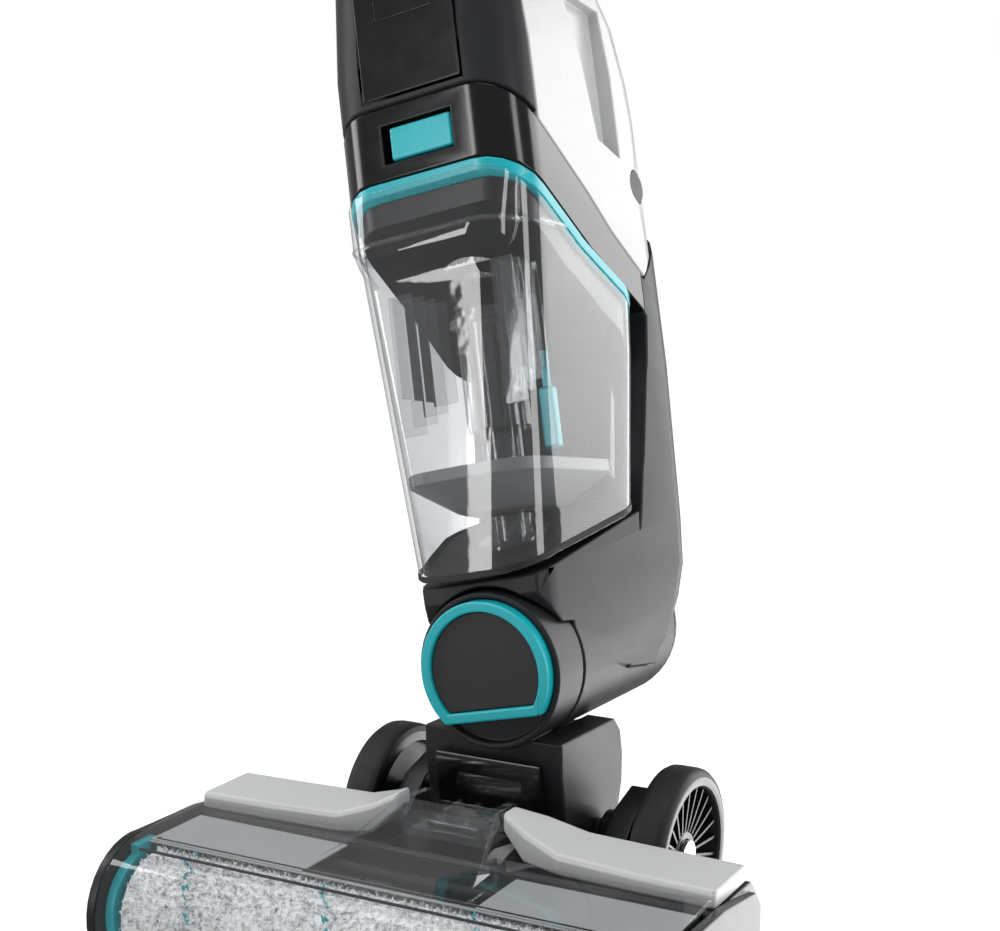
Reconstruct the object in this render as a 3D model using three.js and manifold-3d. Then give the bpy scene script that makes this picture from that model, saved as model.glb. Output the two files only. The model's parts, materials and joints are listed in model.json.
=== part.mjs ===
// Upright wet dry floor scrubber with two lift-out tanks, in millimetres. +Z is up, -Y is the
// front, and +X is the machine's own left hand side.
import * as THREE from 'three';
import Module from 'manifold-3d';
import { mergeVertices } from 'three/addons/utils/BufferGeometryUtils.js';
import { RoundedBoxGeometry } from 'three/addons/geometries/RoundedBoxGeometry.js';

const wasm = await Module();
wasm.setup();

// ---------------------------------------------------------------- driving sizes
const GAP = 0.3;                 // space left between two separate pieces
const RUN = 0.08;                // radial clearance of a turning shaft
const WALL = 2.4;                // moulded wall

const FOOT_W = 278;              // foot, over the two end covers
const PATH_W = 250;              // length of the microfibre roll
const ROLL_R = 28;               // radius over the pile
const ROLL_Y = -138;             // roll axis, in front of the wheel axle
const CORE_R = 20;               // plastic tube under the pile
const FOOT_REAR_Y = -46;
const DECK_Z = 58;               // top of the foot's black deck

const WHEEL_R = 42.5;
const WHEEL_X = 78;              // tread centre, each side
const TREAD_W = 15;
const AXLE_R = 5;

const PIVOT_Z = 48;              // recline axis above the floor, over the wheel axle
const YOKE_HALF = 37;
const REST_RECLINE = 9.75;       // degrees the body leans back at rest
const REST_SWIVEL = 13;          // degrees the body is turned over at rest

const KNUCKLE_Y = -62.6;         // front face of the swivel barrel, from the recline axis
const KNUCKLE_Z = 75.8;
const BARREL_TILT = 8.25;        // barrel axis against the square of the body's long axis
const BARREL_R = 38;
const BARREL_L = 138;
const KNUCKLE_L = 30;            // part of the barrel that belongs to the yoke

const BODY_FRONT = -6.3;
const BODY_REAR = 145;
const SPINE_REAR = 151;
const BODY_HALF = 54;
const BODY_TOP = 392;            // shoulder where the handle tube starts
const TUBE_R = 14;
const TUBE_Y = 44;

const rad = THREE.MathUtils.degToRad;

// ---------------------------------------------------------------- solid helpers
function weld(geometry) {
  const g = geometry.clone();
  g.deleteAttribute('normal');
  g.deleteAttribute('uv');
  return mergeVertices(g, 1e-4);
}

function solid(geometry) {
  const g = weld(geometry);
  return new wasm.Manifold(new wasm.Mesh({
    numProp: 3,
    vertProperties: new Float32Array(g.attributes.position.array),
    triVerts: new Uint32Array(g.index.array),
  }));
}

function toGeometry(manifold) {
  const mesh = manifold.getMesh();
  const g = new THREE.BufferGeometry();
  g.setAttribute('position', new THREE.BufferAttribute(new Float32Array(mesh.vertProperties), 3));
  g.setIndex(new THREE.BufferAttribute(new Uint32Array(mesh.triVerts), 1));
  return g;
}

function combine(operation, first, others) {
  let result = solid(first);
  for (const other of others) {
    result = result[operation](solid(other));
  }
  return toGeometry(result);
}

const cut = (first, ...others) => combine('subtract', first, others);
const join = (first, ...others) => combine('add', first, others);
const common = (first, ...others) => combine('intersect', first, others);

function box(x0, x1, y0, y1, z0, z1) {
  return new THREE.BoxGeometry(x1 - x0, y1 - y0, z1 - z0)
    .translate((x0 + x1) / 2, (y0 + y1) / 2, (z0 + z1) / 2);
}

function softBox(x0, x1, y0, y1, z0, z1, radius) {
  return new RoundedBoxGeometry(x1 - x0, y1 - y0, z1 - z0, 2, radius)
    .translate((x0 + x1) / 2, (y0 + y1) / 2, (z0 + z1) / 2);
}

// A turned piece: [radius, height] pairs from the axis back to the axis, about +Z.
function turned(profile, segments = 32) {
  return new THREE.LatheGeometry(profile.map(([r, z]) => new THREE.Vector2(r, z)), segments)
    .rotateX(Math.PI / 2);
}

function rodX(radius, x0, x1, y, z, segments = 24) {
  return new THREE.CylinderGeometry(radius, radius, x1 - x0, segments)
    .rotateZ(Math.PI / 2).translate((x0 + x1) / 2, y, z);
}

function rodY(radius, y0, y1, x, z, segments = 32) {
  return new THREE.CylinderGeometry(radius, radius, y1 - y0, segments)
    .translate(x, (y0 + y1) / 2, z);
}

function rodZ(radius, z0, z1, x, y, segments = 24) {
  return new THREE.CylinderGeometry(radius, radius, z1 - z0, segments)
    .rotateX(Math.PI / 2).translate(x, y, (z0 + z1) / 2);
}

// A side profile of [y, z] points, pulled out along X.
function slab(points, x0, x1) {
  const shape = new THREE.Shape(points.map(([y, z]) => new THREE.Vector2(y, z)));
  const g = new THREE.ExtrudeGeometry(shape, { depth: x1 - x0, bevelEnabled: false, steps: 1 });
  const frame = new THREE.Matrix4().makeBasis(
    new THREE.Vector3(0, 1, 0), new THREE.Vector3(0, 0, 1), new THREE.Vector3(1, 0, 0));
  return g.applyMatrix4(frame).translate(x0, 0, 0);
}

// A plan outline with its own widths and corner radii at front and rear, as [x, y] points.
function plan(frontHalf, rearHalf, y0, y1, frontR, rearR, steps = 5) {
  const ring = [];
  const corners = [
    [rearHalf - rearR, y1 - rearR, rearR, 0],
    [-rearHalf + rearR, y1 - rearR, rearR, 90],
    [-frontHalf + frontR, y0 + frontR, frontR, 180],
    [frontHalf - frontR, y0 + frontR, frontR, 270],
  ];
  for (const [cx, cy, r, start] of corners) {
    for (let i = 0; i <= steps; i += 1) {
      const a = rad(start + 90 * i / steps);
      ring.push([cx + r * Math.cos(a), cy + r * Math.sin(a)]);
    }
  }
  return ring;
}

// A skin over rings of [x, y, z] points that run counter-clockwise seen from the last ring.
function loft(rings) {
  const count = rings[0].length;
  const positions = rings.flat(2);
  const index = [];
  for (let k = 0; k + 1 < rings.length; k += 1) {
    for (let i = 0; i < count; i += 1) {
      const j = (i + 1) % count;
      const a = k * count + i;
      const b = k * count + j;
      index.push(a, b, b + count, a, b + count, a + count);
    }
  }
  const last = (rings.length - 1) * count;
  for (let i = 1; i + 1 < count; i += 1) {
    index.push(0, i + 1, i, last, last + i, last + i + 1);
  }
  const g = new THREE.BufferGeometry();
  g.setAttribute('position', new THREE.Float32BufferAttribute(positions, 3));
  g.setIndex(index);
  return g;
}

const raise = (ring, z) => ring.map(([x, y]) => [x, y, z]);

// A round bar along a curve, closed at both ends.
function bar(points, radius, steps = 24, sides = 12) {
  const circle = new THREE.Shape();
  circle.absarc(0, 0, radius, 0, 2 * Math.PI);
  return new THREE.ExtrudeGeometry(circle, {
    steps,
    curveSegments: sides,
    bevelEnabled: false,
    extrudePath: new THREE.CatmullRomCurve3(points.map((p) => new THREE.Vector3(...p))),
  });
}

// Straight line through two [y, z] points, as z for a given y.
const line = ([y0, z0], [y1, z1]) => (y) => z0 + (z1 - z0) * (y - y0) / (y1 - y0);

// Piecewise straight table lookup.
function between(table) {
  return (t) => {
    for (let i = 1; i < table.length; i += 1) {
      if (t <= table[i][0]) {
        return line(table[i - 1], table[i])(t);
      }
    }
    return table[table.length - 1][1];
  };
}

// ---------------------------------------------------------------- groups and naming
const group = new THREE.Group();
group.name = 'floor_scrubber';

const footGroup = new THREE.Group();
footGroup.name = 'foot_group';
group.add(footGroup);

const yokeGroup = new THREE.Group();
yokeGroup.name = 'yoke_group';
yokeGroup.position.set(0, 0, PIVOT_Z);
yokeGroup.rotation.x = -rad(REST_RECLINE);
group.add(yokeGroup);

const barrelAxis = new THREE.Vector3(0, Math.cos(rad(BARREL_TILT)), Math.sin(rad(BARREL_TILT)));
const bodyGroup = new THREE.Group();
bodyGroup.name = 'body_group';
bodyGroup.position.set(0, KNUCKLE_Y, KNUCKLE_Z);
bodyGroup.quaternion.setFromAxisAngle(barrelAxis, -rad(REST_SWIVEL));
yokeGroup.add(bodyGroup);

const looks = {
  black: [0x17181a, 0.35],
  charcoal: [0x3a3c40, 0.5],
  grey: [0x6c7075, 0.5],
  pale: [0xd9dcde, 0.4],
  teal: [0x16b5bd, 0.35],
  clear: [0xcfd6d8, 0.1],
  rubber: [0x101112, 0.8],
  steel: [0x9a9da1, 0.35],
  pile: [0xb9bcbe, 0.95],
  board: [0x1d5a3a, 0.6],
};

function add(parent, name, geometry, look) {
  const [color, roughness] = looks[look];
  const material = new THREE.MeshStandardMaterial({
    color,
    roughness,
    transparent: look === 'clear',
    opacity: look === 'clear' ? 0.35 : 1,
  });
  const mesh = new THREE.Mesh(weld(geometry), material);
  mesh.name = name;
  parent.add(mesh);
  return mesh;
}

// ---------------------------------------------------------------- foot: chassis
const CHAMBER_R = ROLL_R + 3;            // brush chamber around the roll
const COVER_R = CHAMBER_R + WALL;        // outside of the clear cover
const END_X = PATH_W / 2 + 9;            // inner face of each end wall
const ROLL_Z = ROLL_R;
const MOTOR_Y = -73;
const MOTOR_Z = 32;
const DUCT_HALF = 19;

function arc(cy, cz, r, from, to, steps) {
  const points = [];
  for (let i = 0; i <= steps; i += 1) {
    const a = rad(from + (to - from) * i / steps);
    points.push([cy + r * Math.cos(a), cz + r * Math.sin(a)]);
  }
  return points;
}

const chassisProfile = [
  [FOOT_REAR_Y, 10],
  [FOOT_REAR_Y, DECK_Z - 6],
  [FOOT_REAR_Y - 6, DECK_Z],
  [-90, DECK_Z],
  [-96, 46],
  ...arc(ROLL_Y, ROLL_Z, CHAMBER_R, 22, -34, 8),
  [-108, 6],
  [-52, 6],
];

const endProfile = [
  [FOOT_REAR_Y - 4, 12],
  [FOOT_REAR_Y - 4, DECK_Z - 10],
  [FOOT_REAR_Y - 10, DECK_Z - 3],
  [-92, 60],
  ...arc(ROLL_Y, ROLL_Z, COVER_R - 0.5, 82, 205, 12),
  [-160, 5],
  [-60, 5],
];

// The belt runs inside the +X end of the chassis; the roll is pulled out at the other end.
const beltRoom = slab([[-164, 14], [-164, 44], [-140, 50], [-56, 48], [-56, 18], [-130, 8]],
  END_X - 9.5, END_X + 0.8);
const motorRoom = box(24, END_X - 9.2, MOTOR_Y - 19, MOTOR_Y + 19, 5, MOTOR_Z + 19);
const rearRoom = box(-END_X + 8, -28, -98, FOOT_REAR_Y - 6, 5, DECK_Z - 6);
const ductRoom = box(-DUCT_HALF - GAP, DUCT_HALF + GAP, -112, -40, 20 - GAP, 44 + GAP);
const plateRoom = box(-END_X + 6, END_X - 6, -100 - GAP, -52 + GAP, 0, 9 + GAP);
const bearingRoom = rodX(6 + GAP, -END_X - 4.2, -END_X + 1, ROLL_Y, ROLL_Z);

const chassis = cut(
  join(
    slab(chassisProfile, -END_X - 1, END_X + 1),
    slab(endProfile, -FOOT_W / 2, -END_X),
    slab(endProfile, END_X, FOOT_W / 2),
  ),
  beltRoom, motorRoom, rearRoom, ductRoom, plateRoom, bearingRoom,
  rodX(ROLL_R + 1, END_X - 4, END_X + 1.5, ROLL_Y, ROLL_Z),
);
add(footGroup, 'foot_chassis', chassis, 'black');

// A weight plate closes the chassis from below.
add(footGroup, 'base_plate', softBox(-END_X + 6.3, END_X - 6.3, -100, -52, 4.5, 9, 1.2), 'steel');

// Squeegee behind the roll, in front of the plate.
add(footGroup, 'squeegee', slab([[-107, 0.6], [-104.5, 0.6], [-103, 5.7], [-108.5, 5.7]],
  1 - PATH_W / 2, PATH_W / 2 - 1),
  'rubber');

// ---------------------------------------------------------------- foot: raised deck panels
function deckPanel(side) {
  const stations = [
    [28, -82, -70, 72, 80.5],
    [40, -85, -58, 60, 74],
    [58, -88, -53, DECK_Z + GAP, 68],
    [96, -90, -53, DECK_Z + GAP, 67],
    [END_X - GAP, -91, -54, DECK_Z + GAP, 66.6],
  ];
  const rings = stations.map(([x, y0, y1, z0, z1]) => {
    const chamfer = 1.6;
    return [
      [y0, z0], [y1, z0], [y1, z1 - chamfer], [y1 - chamfer, z1], [y0 + chamfer, z1],
      [y0, z1 - chamfer],
    ].map(([y, z]) => [side * x, y, z]);
  });
  return loft(side > 0 ? rings : rings.map((ring) => [...ring].reverse()));
}
add(footGroup, 'deck_panel_left', deckPanel(1), 'pale');
add(footGroup, 'deck_panel_right', deckPanel(-1), 'pale');

// ---------------------------------------------------------------- foot: clear cover
const COVER_HALF = END_X - 1;
const coverProfile = [
  ...arc(ROLL_Y, ROLL_Z, COVER_R, 205, 90, 14),
  [-96.5, 64.5],
  [-92.5, 63],
  [-92.5, DECK_Z + 1],
  [-95, DECK_Z + 1],
  [-97, 62],
  ...arc(ROLL_Y, ROLL_Z, CHAMBER_R, 88, 205, 14),
];

function humpSolid(inset) {
  const stations = [
    [-136, 46, 40, 52, 59, 0],
    [-112, 44, 34, 50, 68, 0],
    [-84, 30, 25, 50, 80, 0],
    [-62, 26.5, 24, 50, 78, 0],
    [-48, 26, 22, 50, 70, 6],
  ];
  const rings = stations.map(([y, wide, narrow, z0, z1, lean], i) => {
    const w = wide - inset;
    const n = narrow - inset;
    const end = (i === 0 ? inset : 0) - (i === stations.length - 1 ? inset : 0);
    return [[-w, z0, 0], [w, z0, 0], [w, z0 + 6, 0], [n, z1 - inset, lean],
      [-n, z1 - inset, lean], [-w, z0 + 6, 0]].map(([x, z, back]) => [x, y + end - back, z]);
  });
  return loft(rings.map((ring) => [...ring].reverse()));
}

const latchPocket = (grow) => box(-20 - grow, 20 + grow, -84 - grow, -54 + grow, 66 - grow, 90);
const cover = cut(
  join(slab(coverProfile, -COVER_HALF, COVER_HALF), cut(humpSolid(0), latchPocket(0))),
  cut(humpSolid(WALL), latchPocket(WALL)),
  box(-60, 60, -150, -40, 40, DECK_Z + 1),
  rodX(CHAMBER_R, -60, 60, ROLL_Y, ROLL_Z, 48),
);
add(footGroup, 'clear_cover', cover, 'clear');

add(footGroup, 'cover_gasket', slab([[-99, 46.6], [-96.4, 46.6], [-93, 57], [-95.6, 57]],
  -COVER_HALF + 4, COVER_HALF - 4), 'rubber');

// Two-rib slide latch standing in the cover's pocket.
const latch = join(
  softBox(-13, 13, -78, -60, 66 + GAP, 69, 1),
  box(-7, -4.5, -76, -62, 68.5, 74),
  box(4.5, 7, -76, -62, 68.5, 74),
);
add(footGroup, 'cover_latch', latch, 'charcoal');

// ---------------------------------------------------------------- foot: brush drive and roll
add(footGroup, 'brush_motor', join(
  rodX(16, 34, 104, MOTOR_Y, MOTOR_Z, 28),
  rodX(6, 29, 34.5, MOTOR_Y, MOTOR_Z, 16),
  rodX(2.5, 103, END_X - 1, MOTOR_Y, MOTOR_Z, 12),
), 'steel');

function pulley(radius, bore, x0, x1, y, z) {
  const flange = 1.2;
  const outer = join(
    rodX(radius, x0, x1, y, z, 28),
    rodX(radius + 2, x0, x0 + flange, y, z, 28),
    rodX(radius + 2, x1 - flange, x1, y, z, 28),
  );
  return cut(outer, rodX(bore, x0 - 1, x1 + 1, y, z, 12));
}
const BELT_X0 = END_X - 6.6;
const BELT_X1 = END_X - 2.6;
const MOTOR_PULLEY_R = 7;
const ROLL_PULLEY_R = 14;
add(footGroup, 'motor_pulley',
  pulley(MOTOR_PULLEY_R, 2.5 + RUN, BELT_X0 - 1.6, BELT_X1 + 1.6, MOTOR_Y, MOTOR_Z), 'steel');
add(footGroup, 'roll_pulley', join(
  pulley(ROLL_PULLEY_R, 5, BELT_X0 - 1.6, BELT_X1 + 1.6, ROLL_Y, ROLL_Z),
  rodX(6, PATH_W / 2 - 8, BELT_X1 + 1.6, ROLL_Y, ROLL_Z, 6),
), 'charcoal');

// Belt: a thin loop round both pulleys with running room.
function beltLoop(grow) {
  const r0 = ROLL_PULLEY_R + grow;
  const r1 = MOTOR_PULLEY_R + grow;
  const tilt = THREE.MathUtils.radToDeg(Math.atan2(MOTOR_Z - ROLL_Z, MOTOR_Y - ROLL_Y));
  return [
    ...arc(MOTOR_Y, MOTOR_Z, r1, tilt - 96, tilt + 96, 10),
    ...arc(ROLL_Y, ROLL_Z, r0, tilt + 96, tilt + 264, 16),
  ];
}
add(footGroup, 'drive_belt', cut(
  slab(beltLoop(1.8), BELT_X0 + 0.2, BELT_X1 - 0.2),
  slab(beltLoop(0.4), BELT_X0 - 1, BELT_X1 + 1),
), 'rubber');

const ROLL_X0 = -PATH_W / 2;
const ROLL_X1 = PATH_W / 2;
add(footGroup, 'roll_core', cut(
  join(
    rodX(CORE_R, ROLL_X0, ROLL_X1, ROLL_Y, ROLL_Z, 32),
    rodX(6 - RUN, -END_X - 3.8, ROLL_X0 + 1, ROLL_Y, ROLL_Z, 24),
  ),
  rodX(CORE_R - 2.5, ROLL_X0 + 14, ROLL_X1 - 14, ROLL_Y, ROLL_Z, 24),
  rodX(6 + GAP, ROLL_X1 - 20, ROLL_X1 + 1, ROLL_Y, ROLL_Z, 24),
), 'grey');
add(footGroup, 'roll_pile', cut(
  rodX(ROLL_R, ROLL_X0, ROLL_X1, ROLL_Y, ROLL_Z, 48),
  rodX(CORE_R + 0.1, ROLL_X0 - 1, ROLL_X1 + 1, ROLL_Y, ROLL_Z, 32),
), 'pile');

add(footGroup, 'roll_end_tab', cut(
  join(
    rodX(ROLL_R - 2, -END_X + GAP, -PATH_W / 2 - 4, ROLL_Y, ROLL_Z, 36),
    box(-END_X + GAP, -PATH_W / 2 - 4, ROLL_Y - 7, ROLL_Y + 7, ROLL_Z, COVER_R + ROLL_Z - 3.5),
  ),
  rodX(6, -END_X - 1, -PATH_W / 2, ROLL_Y, ROLL_Z, 24),
), 'teal');

// Clean water reaches the roll through a row of outlets in this bar.
add(footGroup, 'spray_bar', join(
  rodX(3, -70, 70, -107, 51, 12),
  ...[-60, -30, 0, 30, 60].map((x) => rodZ(1.5, 46.5, 50, x, -108.5, 8)),
), 'charcoal');

// ---------------------------------------------------------------- foot: suction duct and hose
add(footGroup, 'suction_duct', cut(
  box(-DUCT_HALF, DUCT_HALF, -106, -42, 20, 44),
  box(-DUCT_HALF + 2, DUCT_HALF - 2, -108, -40, 22, 42),
), 'charcoal');

// ---------------------------------------------------------------- wheels and their carrier
const ARM_X0 = 52;
const ARM_X1 = 64;
const PIN_R = 6;
const armProfile = [
  [-50, 14], [-50, 46], [-34, 50], [-16, 66], [4, 72], [22, 62], [24, 46], [14, 30], [-20, 18],
];
const carrier = cut(
  join(
    slab(armProfile, ARM_X0, ARM_X1),
    slab(armProfile, -ARM_X1, -ARM_X0),
    box(-ARM_X1, ARM_X1, -50, -41, 10, 19.4),
    box(ARM_X0 - 12, ARM_X1, -50, -41, 14, 40),
    box(-ARM_X1, -ARM_X0 + 12, -50, -41, 14, 40),
    rodX(11, YOKE_HALF + 4, ARM_X0 + 1, 0, PIVOT_Z),
    rodX(11, -ARM_X0 - 1, -YOKE_HALF - 4, 0, PIVOT_Z),
  ),
  box(-ARM_X1 - 1, ARM_X1 + 1, -52, FOOT_REAR_Y + GAP, 0, 70),
  rodX(AXLE_R + 0.05, ARM_X1 - 8, ARM_X1 + 1, 0, WHEEL_R),
  rodX(AXLE_R + 0.05, -ARM_X1 - 1, -ARM_X1 + 8, 0, WHEEL_R),
  rodX(PIN_R + RUN, YOKE_HALF, ARM_X0 + 0.5, 0, PIVOT_Z),
  rodX(PIN_R + RUN, -ARM_X0 - 0.5, -YOKE_HALF, 0, PIVOT_Z),
);
add(footGroup, 'wheel_carrier', carrier, 'black');

const HUB_X0 = ARM_X1 + 1;               // inner face of the wheel hub
const WHEEL_OUT = WHEEL_X + 9;           // outer shoulder of the tyre
function wheel() {
  const half = TREAD_W / 2;
  const mid = WHEEL_X;
  const r = WHEEL_R;
  const body = turned([
    [0, HUB_X0], [11, HUB_X0], [11, mid - 5], [33, mid - 5], [34, mid - half - 2],
    [r - 3.5, mid - half - 1], [r, mid - half + 2], [r, mid + half - 2], [r - 2.5, WHEEL_OUT - 1],
    [r - 5, WHEEL_OUT], [r - 9, WHEEL_OUT - 1], [r - 10.5, mid - 1], [13, mid - 1],
    [12, mid + 4], [0, mid + 4],
  ], 32).rotateY(Math.PI / 2);
  const ribs = [];
  const count = 18;
  for (let i = 0; i < count; i += 1) {
    ribs.push(box(mid - 2, mid + 4.5, -0.9, 0.9, 12, r - 9).rotateX(2 * Math.PI * i / count));
  }
  return cut(join(body, ...ribs), rodX(AXLE_R + RUN, HUB_X0 - 1, mid + 5, 0, 0));
}
const wheelShape = wheel().translate(0, 0, WHEEL_R);
add(footGroup, 'wheel_left', wheelShape.clone(), 'rubber');
add(footGroup, 'wheel_right', wheelShape.clone().rotateZ(Math.PI), 'rubber');

const axle = join(
  rodX(AXLE_R, ARM_X1 - 7.5, WHEEL_X + 4, 0, WHEEL_R),
  rodX(8, WHEEL_X + 4.3, WHEEL_X + 6.5, 0, WHEEL_R),
  rodX(AXLE_R, WHEEL_X + 3, WHEEL_X + 5, 0, WHEEL_R),
);
add(footGroup, 'axle_left', axle.clone(), 'steel');
add(footGroup, 'axle_right', axle.clone().rotateZ(Math.PI), 'steel');

// ---------------------------------------------------------------- yoke, upright about the pivot
// Pieces modelled along the barrel are tilted to its axis, in the body or in the yoke.
const barrelBody = (geometry) => geometry.rotateX(rad(BARREL_TILT));
const onBarrel = (geometry) => barrelBody(geometry).translate(0, KNUCKLE_Y, KNUCKLE_Z);

const SPINDLE_R = 24;
const SPINDLE_L = 88;
const HOSE_R = 11;
const neckProfile = [
  [-26, -14], [-36, 2], [-47, 30], [-50, 46], [8, 54], [16, 48], [21, 36], [23, 22], [21, 8],
  [16, -6], [7, -17], [-6, -22], [-17, -20],
];
const hosePath = [[0, -4, -8], [0, -6, 8], [0, -14, 19], [0, -22, 23]];
const yokeShell = cut(
  join(
    cut(slab(neckProfile, -YOKE_HALF, YOKE_HALF),
      onBarrel(rodY(BARREL_R + 1, KNUCKLE_L, BARREL_L + 10, 0, 0, 48))),
    onBarrel(rodY(BARREL_R - 0.5, 4, KNUCKLE_L - GAP, 0, 0, 48)),
    onBarrel(rodY(SPINDLE_R, 10, SPINDLE_L, 0, 0, 48)),
    rodX(PIN_R, -ARM_X0, ARM_X0, 0, 0),
  ),
  onBarrel(rodY(BARREL_R - 3.6, 3, 8, 0, 0, 40)),
  onBarrel(rodY(SPINDLE_R - 3, 14, SPINDLE_L + 1, 0, 0, 32)),
  onBarrel(rodY(7 + RUN, 5, 20, 0, 0, 24)),
  box(-HOSE_R - 3, HOSE_R + 3, -44, 0, 18, 56),
  box(-HOSE_R - 3, HOSE_R + 3, -31, 0, 2, 30),
  rodZ(HOSE_R, 40, 72, 0, KNUCKLE_Y + 24, 20),
  box(-HOSE_R - 3, HOSE_R + 3, -20, 12, -30, 46),
);
add(yokeGroup, 'yoke_shell', yokeShell, 'black');

add(yokeGroup, 'yoke_front_cover', cut(
  slab([[-33, -8], [-43, 4], [-53, 30], [-53, 35], [-50.5, 35], [-47.4, 30], [-36.4, 2], [-30.3, -8]],
    -28, 28),
  box(-18, 18, -60, -48.5, 12, 26),
), 'black');

add(yokeGroup, 'neck_hose', cut(
  bar(hosePath, HOSE_R, 8, 10),
  bar([[0, -3, -14], ...hosePath.slice(1, -1), [0, -34, 31]], HOSE_R - 3, 8, 10),
), 'charcoal');

// Front of the barrel: a ring with a flat chord below, and a flat disc inside it.
function dShape(radius, chord) {
  const half = Math.sqrt(radius * radius - chord * chord);
  const start = Math.atan2(-chord, half);
  const shape = new THREE.Shape();
  shape.absarc(0, 0, radius, start, Math.PI - start, false);
  shape.closePath();
  return shape;
}
function dPlate(radius, chord, y0, y1, segments = 14) {
  return new THREE.ExtrudeGeometry(dShape(radius, chord), {
    depth: y1 - y0, bevelEnabled: false, curveSegments: segments * 2,
  }).rotateX(Math.PI / 2).translate(0, y1, 0);
}
const RING_R = 34;
const RING_CHORD = 22.5;
add(bodyGroup, 'barrel_ring', barrelBody(cut(
  dPlate(RING_R, RING_CHORD, -1.5, 7.7),
  dPlate(RING_R - 5, RING_CHORD - 5, -3, 9),
)), 'teal');
add(bodyGroup, 'barrel_disc', barrelBody(join(
  dPlate(RING_R - 5 - GAP, RING_CHORD - 5 - GAP, 0.5, 7.6),
  rodY(7, 7, SPINDLE_L + 1, 0, 0, 24),
)), 'charcoal');

// ---------------------------------------------------------------- body envelope
const frontHalfAt = between([[-60, 34], [40, 36], [100, 42], [180, 49], [230, BODY_HALF - 1],
  [300, BODY_HALF - 1], [BODY_TOP - 42, 50], [BODY_TOP - 12, 44], [BODY_TOP, 36]]);
const rearHalfAt = between([[-60, BARREL_R], [5, BARREL_R], [45, 50], [70, 52], [150, BODY_HALF + 1],
  [300, BODY_HALF + 1], [BODY_TOP - 42, 51], [BODY_TOP - 12, 44], [BODY_TOP, 36]]);
const frontAt = between([[-60, BODY_FRONT], [BODY_TOP - 92, BODY_FRONT], [BODY_TOP - 32, -3],
  [BODY_TOP - 12, 4], [BODY_TOP, 16]]);
const rearAt = between([[-60, BODY_REAR], [280, BODY_REAR], [BODY_TOP - 62, 138],
  [BODY_TOP - 22, 112], [BODY_TOP, 78]]);
const LEVELS = [5, 25, 45, 70, 100, 150, 180, 230, 280,
  ...[92, 62, 42, 30, 20, 12, 5].map((below) => BODY_TOP - below)];

function envelope(inset, z0, z1, rear = rearAt) {
  const levels = [z0, ...LEVELS.filter((z) => z > z0 + 2 && z < z1 - 2), z1];
  return loft(levels.map((z) => raise(
    plan(frontHalfAt(z) - inset, rearHalfAt(z) - inset, frontAt(z) + inset, rear(z) - inset,
      24 - inset, 26 - inset), z)));
}

// Slanted parting lines of the body, as height for a given distance back.
const tankFloor = line([-6.3, 43.5], [77.5, 71.9]);
const bandLine = line([-6.3, 241], [114, 174]);
const seamLine = line([-8, 279], [20, 262]);
const sideLine = line([20, 259], [113, 196]);
const backLine = line([60, 89], [178, 114]);   // back of the dirty tank, for a given height
const PANEL_Y = 20;                       // front edge of the clean tank's sides
const SIDE_END = 116;
const COLLAR_END = 112;                   // back of the collar, against the spine
const NOTCH = [BODY_REAR + 0.5, 224];     // where the clean tank ends above the spine
const BAND_H = 7;

const wide = (points) => slab(points, -80, 80);

// ---------------------------------------------------------------- barrel and spine
const spineSide = [
  [backLine(20) + GAP, -5],
  [backLine(20) + GAP, 20],
  [backLine(60) + GAP, 60],
  [backLine(178) + GAP, bandLine(backLine(178) + GAP) - GAP],
  [COLLAR_END + 2 * GAP, bandLine(COLLAR_END) - 2 * GAP],
  [COLLAR_END + 2 * GAP, sideLine(COLLAR_END + 2 * GAP) - GAP],
  [SIDE_END, sideLine(SIDE_END) - GAP],
  NOTCH,
  [SPINE_REAR, 212],
  [SPINE_REAR, 74],
  [148, 56],
  [136, 32],
  [124, 10],
  [110, -5],
];
const spineRear = () => SPINE_REAR;
const BATTERY = { half: 41, y0: 112, y1: 143, z0: 64, z1: 152 };
const batteryRoom = box(-BATTERY.half - GAP, BATTERY.half + GAP, BATTERY.y0 - GAP, 170,
  BATTERY.z0 - GAP, BATTERY.z1 + GAP);
const saddleSide = [
  [4, 34], [4, tankFloor(4) - 4], [backLine(60) + 1, tankFloor(backLine(60) + 1) - 4],
  [backLine(60) + 1, -5], [34, 0],
];
const spineShell = cut(
  join(
    common(envelope(0.4, -20, 240, spineRear), wide(spineSide)),
    common(envelope(0.4, -20, 110, spineRear), wide(saddleSide)),
    barrelBody(rodY(BARREL_R, KNUCKLE_L, BARREL_L, 0, 0, 48)),
  ),
  barrelBody(rodY(SPINDLE_R + RUN, KNUCKLE_L - 1, SPINDLE_L + 2, 0, 0, 48)),
  batteryRoom,
  barrelBody(rodY(BARREL_R + 1, -10, KNUCKLE_L, 0, 0, 48)),
  rodZ(11, 15, 90, 0, 60, 24),
  barrelBody(rodY(18, SPINDLE_L - 20, BARREL_L - 12, 0, 0, 24)),
  barrelBody(rodY(BARREL_R + GAP, BARREL_L, 180, 0, 0, 48)),
  cut(
    common(envelope(4, 28, 200, spineRear), wide([
      [backLine(40) + 5, 36], [backLine(160) + 5, 160], [146, 205], [147, 80], [140, 54], [128, 36]])),
    box(-BATTERY.half - 3, BATTERY.half + 3, BATTERY.y0 - 3, 170, BATTERY.z0 - 3, BATTERY.z1 + 3),
  ),
  box(-4, 4, 100, 108, 20, 44),
);
add(bodyGroup, 'spine_shell', spineShell, 'charcoal');

add(bodyGroup, 'barrel_rear_cap', barrelBody(
  turned([[0, 0], [BARREL_R - 0.5, 0], [BARREL_R - 0.5, 3], [BARREL_R - 3, 6.5], [0, 8]], 40)
    .rotateX(-Math.PI / 2).translate(0, BARREL_L + GAP, 0)), 'charcoal');

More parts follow.
